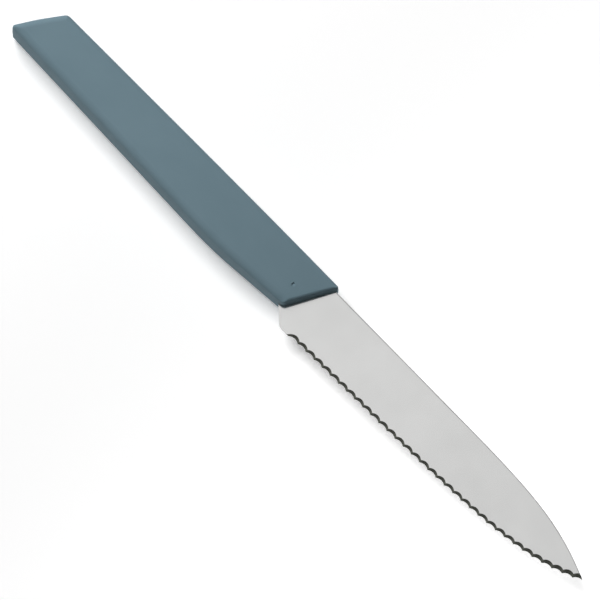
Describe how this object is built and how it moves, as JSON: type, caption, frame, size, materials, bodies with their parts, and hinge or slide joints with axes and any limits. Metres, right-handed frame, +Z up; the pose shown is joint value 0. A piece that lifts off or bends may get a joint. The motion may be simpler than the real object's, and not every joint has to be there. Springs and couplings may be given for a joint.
{
  "type": "vegetable knife",
  "caption": "Small kitchen knife with a scalloped serrated blade ground on one side and a plain moulded plastic handle with slanted ends.",
  "frame": {"origin": "under the middle of the knife's outline, on the surface that it lies on", "axes": "+X along the knife to the tip, +Y from the cutting edge to the spine, +Z up through the thickness, out of the side that the serration is ground on"},
  "size_m": [0.2104, 0.0184, 0.012],
  "materials": {
    "blade": "satin, with fine grinding lines",
    "handle": "fine matte moulded grain"
  },
  "bodies": {
    "root": {"blade": "blade", "handle": "handle"}
  },
  "joints": []
}
